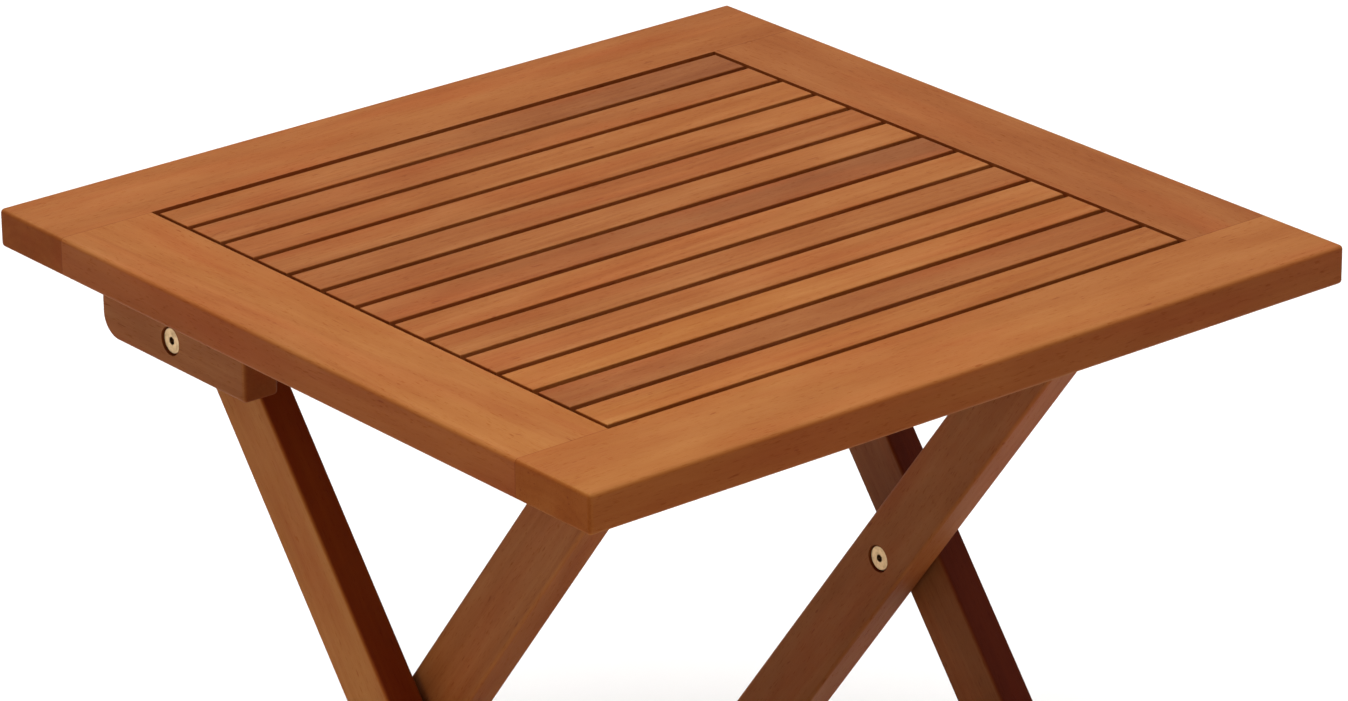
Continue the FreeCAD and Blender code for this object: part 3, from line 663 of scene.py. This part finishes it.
@dataclass
class Tabletop(Joinery):
    """The framed, slatted top with its battens, cleats and catches.

    Attributes:
        slat_tones: Timber at each slat's left and right end, from the front slat to the
            back one, mixed as it comes off a pile.
        sawings: Cuts of the slats, in turn.
    """

    slat_tones: tuple[tuple[Timber, Timber], ...] = (
        (Timber.HONEY, Timber.CHESTNUT), (Timber.CHESTNUT, Timber.CHESTNUT), (Timber.HONEY, Timber.TAN),
        (Timber.TAN, Timber.TAN), (Timber.TAN, Timber.CHESTNUT), (Timber.TAN, Timber.TAN),
        (Timber.CHESTNUT, Timber.UMBER), (Timber.CHESTNUT, Timber.TAN), (Timber.CHESTNUT, Timber.CHESTNUT),
        (Timber.CHESTNUT, Timber.TAN), (Timber.CHESTNUT, Timber.TAN), (Timber.CHESTNUT, Timber.CHESTNUT),
        (Timber.TAN, Timber.UMBER),
    )
    sawings: tuple[Sawing, ...] = (Sawing.RIFT, Sawing.FLAT, Sawing.QUARTER, Sawing.RIFT, Sawing.QUARTER)

    def finish(self) -> None:
        """Finish every board of the top."""
        self.finish_frame()
        self.finish_slats()
        self.finish_underside()

    def finish_frame(self) -> None:
        """Finish the two rails and, between their shoulders, the two stiles."""
        rail_lie = Lie(X_AXIS, Z_AXIS)
        stile_lie = Lie(Y_AXIS, Z_AXIS)
        rail_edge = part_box("back_rail")[0].y
        front = OiledAcacia(Timber.HONEY, Timber.TAN, Sawing.FLAT, ring_mm=7.0, contrast=0.8)
        back = OiledAcacia(Timber.TAN, Timber.CHESTNUT, Sawing.FLAT, ring_mm=7.0, contrast=0.8)
        self.finish_board("front_rail", front, rail_lie)
        self.finish_board("back_rail", back, rail_lie)
        left = OiledAcacia(Timber.HONEY, Timber.TAN, Sawing.RIFT, ring_mm=6.0, contrast=0.8)
        right = OiledAcacia(Timber.CHESTNUT, Timber.CHESTNUT, Sawing.FLAT, ring_mm=6.5, contrast=0.9)
        self.finish_board("left_stile", left, stile_lie, rail_edge)
        self.finish_board("right_stile", right, stile_lie, rail_edge)

    def finish_slats(self) -> None:
        """Finish the slats, each with its own tone and cut."""
        lie = Lie(X_AXIS, Z_AXIS)
        for number, (left, right) in enumerate(self.slat_tones):
            sawing = self.sawings[number % len(self.sawings)]
            wood = OiledAcacia(left, right, sawing, ring_mm=4.5, edge_oil_and_shade=0.05)
            self.finish_board(f"slat_{number + 1:02d}", wood, lie)

    def finish_underside(self) -> None:
        """Finish the battens, the hinge cleats and the catches."""
        for hand in ("left", "right"):
            batten = OiledAcacia(Timber.CHESTNUT, Timber.CHESTNUT, Sawing.QUARTER, ring_mm=5.0)
            cleat = OiledAcacia(Timber.CHESTNUT, Timber.CHESTNUT, Sawing.RIFT, ring_mm=6.0)
            catch = OiledAcacia(Timber.UMBER, Timber.UMBER, Sawing.QUARTER, ring_mm=5.0)
            self.finish_board(f"{hand}_batten", batten, Lie(Y_AXIS, Z_AXIS))
            self.finish_board(f"{hand}_cleat", cleat, Lie(Y_AXIS, X_AXIS))
            self.finish_board(f"{hand}_catch", catch, Lie(Y_AXIS, X_AXIS))


@dataclass
class LegFrame(Joinery):
    """A pair of legs with its cross pieces, leaning towards the back or the front.

    Attributes:
        pair: The pair's name, which starts its boards' names.
        left_timber: What the left leg was sawn from.
        right_timber: What the right leg was sawn from.
        edge_oil_and_shade: How much darker their narrow faces are, as painted shade from the top above them.
        rise: The direction from the feet up along the legs.
        cross_pieces: The boards that run from leg to leg.
    """

    pair: str = "outer"
    left_timber: Timber = Timber.HONEY
    right_timber: Timber = Timber.UMBER
    # Strong darkening of the legs' narrow faces: painted shade where the tabletop shadows them.
    edge_oil_and_shade: float = 0.7
    rise: Vector = field(default_factory=lambda: Vector(Z_AXIS))
    cross_pieces: tuple[str, ...] = ("outer_stretcher",)

    def finish(self) -> None:
        """Finish the legs and what joins them."""
        leg_lie = Lie(self.rise, X_AXIS)
        sawn = (("left", self.left_timber, Sawing.RIFT), ("right", self.right_timber, Sawing.FLAT))
        for hand, timber, sawing in sawn:
            wood = OiledAcacia(
                timber, timber, sawing, ring_mm=6.0, contrast=0.9, wear=0.03, edge_oil_and_shade=self.edge_oil_and_shade,
            )
            self.finish_board(f"{self.pair}_leg_{hand}", wood, leg_lie)
        front = X_AXIS.cross(self.rise)
        for name in self.cross_pieces:
            wood = OiledAcacia(
                Timber.CHESTNUT, Timber.TAN, Sawing.QUARTER, ring_mm=5.0, wear=0.0, edge_oil_and_shade=0.0,
            )
            self.finish_board(name, wood, Lie(X_AXIS, front))


@dataclass
class Pivots:
    """The turned bolts, nuts and spacers of the hinges and of the legs' crossing.

    Attributes:
        frame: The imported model.
        brass: Finish of the bolts and nuts.
        nylon: Finish of the spacers.
    """

    frame: dict
    brass: SatinBrass = field(default_factory=SatinBrass)
    nylon: MouldedNylon = field(default_factory=MouldedNylon)

    def finish(self) -> None:
        """Finish each pivot's pieces, the metal with its rings about the pivot's own line."""
        plastic = self.nylon.material()
        for place, joint in zip(("hinge", "crossing"), self.frame["joints"]):
            plating = self.brass.material(Vector(joint["pos_m"]))
            for hand in ("left", "right"):
                for kind, material in (("bolt", plating), ("nut", plating), ("spacer", plastic)):
                    name = f"{place}_{kind}_{hand}"
                    for material_slot in self.frame["nodes"][name].material_slots:
                        material_slot.material = material
                    log.info("%s finished", name)


@dataclass
class WoodScrews:
    """One set of wood screws with cross recesses and rolled threads.

    Attributes:
        frame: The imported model.
        node: The plain screws that these stand for.
        body: The body that they ride on.
        inward: The direction that they were driven.
        pitch: Distance from thread to thread.
        thread_depth: Height of the thread over the core, as a share of the radius.
        recess_depth: Depth of the cross, as a share of the head's radius.
        recess_arm: Reach of its arms, as a share of the head's radius.
        recess_width: Width of its arms, as a share of the head's radius.
        rim: Height of the head's straight rim.
        rim_round: Depth of the rounding at its edge.
        point_length: Length of the point, in radii of the shank.
        sides: Facets round the shank.
        rings_per_turn: Steps along one turn of the thread.
    """

    frame: dict
    node: str
    body: str
    inward: Vector
    pitch: float = 1.9 * MM
    thread_depth: float = 0.24
    recess_depth: float = 0.5
    recess_arm: float = 0.6
    recess_width: float = 0.24
    rim: float = 0.4 * MM
    rim_round: float = 0.12 * MM
    point_length: float = 2.2
    sides: int = 20
    rings_per_turn: int = 5

    def plain_screws(self) -> list[list[Vector]]:
        """Sort the plain node's corners into its separate screws.

        Returns:
            The corners of each screw.
        """
        shape = bmesh.new()
        shape.from_mesh(self.frame["nodes"][self.node].data)
        bmesh.ops.remove_doubles(shape, verts=shape.verts, dist=0.001 * MM)
        waiting = set(shape.verts)
        screws = []
        while waiting:
            group = []
            border = [min(waiting, key=lambda corner: corner.index)]
            waiting.discard(border[0])
            while border:
                corner = border.pop()
                group.append(corner.co.copy())
                for edge in corner.link_edges:
                    other = edge.other_vert(corner)
                    if other in waiting:
                        waiting.discard(other)
                        border.append(other)
            screws.append(group)
        shape.free()
        return screws

    def lathe(self, name: str, profile: list[tuple[float, float, float]]) -> bpy.types.Mesh:
        """Turn a screw blank whose thread winds round it.

        Args:
            name: The mesh's name.
            profile: Depth, radius and thread height at each step from the head down.

        Returns:
            The closed blank, its head's face at zero and its point along +Z.
        """
        shape = bmesh.new()
        rows = []
        for depth, radius, ridge in profile:
            row = []
            for side in range(self.sides):
                share = side / self.sides
                turns = depth / self.pitch - share
                crest = (0.5 + 0.5 * math.cos(2 * math.pi * turns)) ** 2
                reach = radius + ridge * crest
                angle = 2 * math.pi * share
                row.append(shape.verts.new((reach * math.cos(angle), reach * math.sin(angle), depth)))
            rows.append(row)
        for upper, lower in zip(rows, rows[1:]):
            for side in range(self.sides):
                following = (side + 1) % self.sides
                face = shape.faces.new((upper[side], lower[side], lower[following], upper[following]))
                face.smooth = True
        shape.faces.new(rows[0])
        shape.faces.new(list(reversed(rows[-1])))
        bmesh.ops.recalc_face_normals(shape, faces=shape.faces)
        return mesh_of(name, shape)

    def cross(self, arm: float, width: float, depth: float) -> bpy.types.Mesh:
        """Shape the driver's tapered cross, which is cut out of the head.

        Args:
            arm: Length of an arm from the middle.
            width: Width of an arm.
            depth: Depth of the cross.

        Returns:
            The closed cutter, its top above zero and its tip along +Z.
        """
        half = width / 2
        corner_places = ((arm, -half), (arm, half), (half, half))
        outline = []
        for quarter in range(4):
            turn = Matrix.Rotation(quarter * math.pi / 2, 2)
            outline += [turn @ Vector(place) for place in corner_places]
        shape = bmesh.new()
        top = [shape.verts.new((place.x * 1.08, place.y * 1.08, -depth / 2)) for place in outline]
        tip = [shape.verts.new((place.x * 0.45, place.y * 0.45, depth)) for place in outline]
        for number, corner in enumerate(top):
            following = (number + 1) % len(top)
            shape.faces.new((corner, top[following], tip[following], tip[number]))
        shape.faces.new(top)
        shape.faces.new(tip)
        bmesh.ops.recalc_face_normals(shape, faces=shape.faces)
        return mesh_of("driver cross", shape)

    def profile(
        self, head_radius: float, shank_radius: float, length: float
    ) -> list[tuple[float, float, float]]:
        """The outline of a countersunk screw from its face down to its point.

        Args:
            head_radius: Of the head's face.
            shank_radius: Over the thread's crests.
            length: From the face to the point.

        Returns:
            Depth, radius and thread height at each step.
        """
        core = shank_radius * (1 - self.thread_depth)
        cone = head_radius - core
        rows = [(0.0, head_radius * 0.94, 0.0)]
        rows += [(self.rim_round, head_radius, 0.0), (self.rim, head_radius, 0.0)]
        rows.append((self.rim + cone * 0.75, core * 1.08, 0.0))
        start = self.rim + cone
        point = length - self.point_length * shank_radius
        steps = math.ceil((length - start) / self.pitch * self.rings_per_turn)
        for step in range(steps + 1):
            depth = start + (length - start) * step / steps
            taper = 1.0 if depth < point else max(0.06, (length - depth) / (length - point))
            fade = min(1.0, step / self.rings_per_turn)
            rows.append((depth, core * taper, shank_radius * self.thread_depth * taper * fade))
        return rows

    def build(self, plating: bpy.types.Material) -> bpy.types.Object:
        """Make the screws where the plain ones are.

        Args:
            plating: Their finish.

        Returns:
            One piece that holds them all.
        """
        joined = bmesh.new()
        blank = None
        for number, corners in enumerate(self.plain_screws()):
            depths = [corner.dot(self.inward) for corner in corners]
            face_depth, length = min(depths), max(depths) - min(depths)
            face_rim = [c for c, d in zip(corners, depths) if d - face_depth < 0.01 * MM]
            tip_rim = [c for c, d in zip(corners, depths) if face_depth + length - d < 0.01 * MM]
            head = sum(face_rim, Vector()) / len(face_rim)
            tip = sum(tip_rim, Vector()) / len(tip_rim)
            if blank is None:
                head_radius = max((corner - head).length for corner in face_rim)
                shank_radius = max((corner - tip).length for corner in tip_rim)
                outline = self.profile(head_radius, shank_radius, length)
                blank = self.cut_recess(self.lathe("screw", outline), head_radius)
            # Each screw stopped at its own angle when it was driven home.
            stop = Quaternion(Z_AXIS, 2.4 * number)
            drive = Z_AXIS.rotation_difference((tip - head).normalized())
            place = Matrix.Translation(head) @ (drive @ stop).to_matrix().to_4x4()
            copy = blank.copy()
            copy.transform(place)
            joined.from_mesh(copy)
            bpy.data.meshes.remove(copy)
        bpy.data.meshes.remove(blank)
        piece = add_object(f"threaded_{self.node}", mesh_of(f"threaded_{self.node}", joined))
        piece.data.materials.append(plating)
        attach(piece, self.body)
        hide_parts(self.node)
        log.info("%s threaded", self.node)
        return piece

    def cut_recess(self, blank: bpy.types.Mesh, head_radius: float) -> bpy.types.Mesh:
        """Press the driver's cross into a blank's head.

        Args:
            blank: The turned blank.
            head_radius: Of its face.

        Returns:
            The finished screw's mesh.
        """
        screw = add_object("screw blank", blank)
        cross = self.cross(
            head_radius * self.recess_arm, head_radius * self.recess_width, head_radius * self.recess_depth
        )
        cutter = add_object("driver", cross)
        cut = screw.modifiers.new("recess", "BOOLEAN")
        cut.object = cutter
        cut.operation = "DIFFERENCE"
        cut.solver = "EXACT"
        ready = bpy.context.evaluated_depsgraph_get()
        finished = bpy.data.meshes.new_from_object(screw.evaluated_get(ready))
        for thing in (screw, cutter):
            mesh = thing.data
            bpy.data.objects.remove(thing)
            bpy.data.meshes.remove(mesh)
        return finished


# ------------------------------------------------------------------ studio

@dataclass(frozen=True)
class SoftBox:
    """One soft white light.

    Attributes:
        name: What it is.
        place: Where it hangs.
        aim: The point that it faces.
        size: Its two sides.
        power: In watts.
    """

    name: str
    place: tuple[float, float, float]
    aim: tuple[float, float, float]
    size: tuple[float, float]
    power: float


@dataclass
class Studio:
    """A pale floor that curves up into a wall all round, soft light and the camera.

    Attributes:
        floor_radius: Of the flat floor.
        cove_radius: Of the curve between floor and wall.
        wall_height: Of the straight wall above the cove.
        cove_steps: Facets up the cove.
        sides: Facets round the studio.
        lights: The overhead box, the wide ceiling and the side fill.
        eye: Where the camera stands.
        aim: The point at the middle of its view.
        roll: Its lean to one side, in degrees.
        lens_mm: Its focal length on a sensor 36 mm wide.
        sky: Colour of the dim light from all round.
    """

    floor_radius: float = 12.0
    cove_radius: float = 3.0
    wall_height: float = 3.0
    cove_steps: int = 12
    sides: int = 72
    lights: tuple[SoftBox, ...] = (
        SoftBox("overhead box", (0.6, 0.9, 3.3), (0.55, 0.85, 0.0), (4.2, 4.2), 146),
        SoftBox("white ceiling", (0.0, 0.0, 10.0), (0.0, 0.0, 0.0), (26.0, 26.0), 950),
        SoftBox("left fill", (-3.0, -0.6, 1.0), (0.0, 0.0, 0.3), (1.8, 1.4), 9),
    )
    eye: tuple[float, float, float] = (-2.404, -2.970, 1.980)
    aim: tuple[float, float, float] = (-0.049, -0.068, 0.450)
    roll: float = -0.59
    lens_mm: float = 174.4
    sky: str = "#727273"

    def build_floor(self) -> bpy.types.Object:
        """Turn the floor's profile about the table's middle.

        Returns:
            The floor.
        """
        profile = [(self.floor_radius * share, 0.0) for share in (0.25, 0.5, 0.75, 1.0)]
        for step in range(1, self.cove_steps + 1):
            angle = math.pi / 2 * step / self.cove_steps
            profile.append((
                self.floor_radius + self.cove_radius * math.sin(angle),
                self.cove_radius * (1 - math.cos(angle)),
            ))
        profile.append((profile[-1][0], self.cove_radius + self.wall_height))
        shape = bmesh.new()
        angles = [2 * math.pi * side / self.sides for side in range(self.sides)]
        rows = []
        for radius, height in profile:
            ring = [(radius * math.cos(angle), radius * math.sin(angle), height) for angle in angles]
            rows.append([shape.verts.new(corner) for corner in ring])
        shape.faces.new(rows[0])
        for inner, outer in zip(rows, rows[1:]):
            for side in range(self.sides):
                following = (side + 1) % self.sides
                shape.faces.new((inner[side], outer[side], outer[following], inner[following]))
        for face in shape.faces:
            face.smooth = True
        floor = add_object("studio_floor", mesh_of("studio_floor", shape))
        floor.data.materials.append(StudioPaint().material())
        log.info("floor laid")
        return floor

    def hang(self, box: SoftBox) -> bpy.types.Object:
        """Hang one soft box.

        Args:
            box: What it is and where it hangs.

        Returns:
            The light.
        """
        lamp = bpy.data.lights.new(box.name, "AREA")
        lamp.shape = "RECTANGLE"
        lamp.size, lamp.size_y = box.size
        lamp.energy = box.power
        light = bpy.data.objects.new(box.name, lamp)
        light.location = box.place
        light.rotation_euler = (Vector(box.aim) - Vector(box.place)).to_track_quat("-Z", "Y").to_euler()
        bpy.context.scene.collection.objects.link(light)
        log.info("light %s hung", box.name)
        return light

    def light(self) -> None:
        """Hang the lights and set the surroundings."""
        for box in self.lights:
            self.hang(box)
        world = bpy.data.worlds.new("studio surroundings")
        world.use_nodes = True
        background = world.node_tree.nodes["Background"]
        background.inputs["Color"].default_value = linear(self.sky)
        background.inputs["Strength"].default_value = 1.0
        bpy.context.scene.world = world
        bpy.context.scene.view_settings.view_transform = "Standard"

    def set_camera(self) -> bpy.types.Object:
        """Stand the camera in front of the table's left corner.

        Returns:
            The camera.
        """
        lens = bpy.data.cameras.new("camera")
        lens.sensor_fit = "HORIZONTAL"
        lens.sensor_width = 36
        lens.lens = self.lens_mm
        camera = bpy.data.objects.new("camera", lens)
        look = (Vector(self.aim) - Vector(self.eye)).to_track_quat("-Z", "Y")
        camera.location = self.eye
        camera.rotation_euler = (look @ Quaternion(Z_AXIS, math.radians(self.roll))).to_euler()
        bpy.context.scene.collection.objects.link(camera)
        bpy.context.scene.camera = camera
        log.info("camera set")
        return camera


# ------------------------------------------------------------------ the whole scene

def main() -> None:
    """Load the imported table, dress every piece, and set the studio round it."""
    logging.basicConfig(level=logging.INFO, format="%(message)s")
    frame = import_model()

    hinge, crossing = (Vector(joint["pos_m"]) for joint in frame["joints"])
    back_rise = (hinge - crossing).normalized()
    front_rise = Vector((0, -back_rise.y, back_rise.z))

    Tabletop(frame).finish()
    # The outer legs keep the strong darkening of their narrow faces, painted shade from the top.
    LegFrame(frame, pair="outer", rise=back_rise).finish()
    LegFrame(
        frame, pair="inner", left_timber=Timber.CHESTNUT, right_timber=Timber.CHESTNUT, edge_oil_and_shade=0.0,
        rise=front_rise, cross_pieces=("inner_stretcher", "inner_top_bar"),
    ).finish()
    Pivots(frame).finish()

    plating = ZincPlate().material()
    stretcher_inward = X_AXIS.cross(back_rise) * -1
    for node, body, inward in (
        ("slat_screws", "tabletop", Z_AXIS),
        ("catch_screws", "tabletop", Z_AXIS),
        ("cleat_screws", "tabletop", Z_AXIS),
        ("stretcher_screws", "outer_leg_frame", stretcher_inward),
    ):
        WoodScrews(frame, node, body, inward).build(plating)

    studio = Studio()
    studio.build_floor()
    studio.light()
    studio.set_camera()


if __name__ == "__main__":
    main()
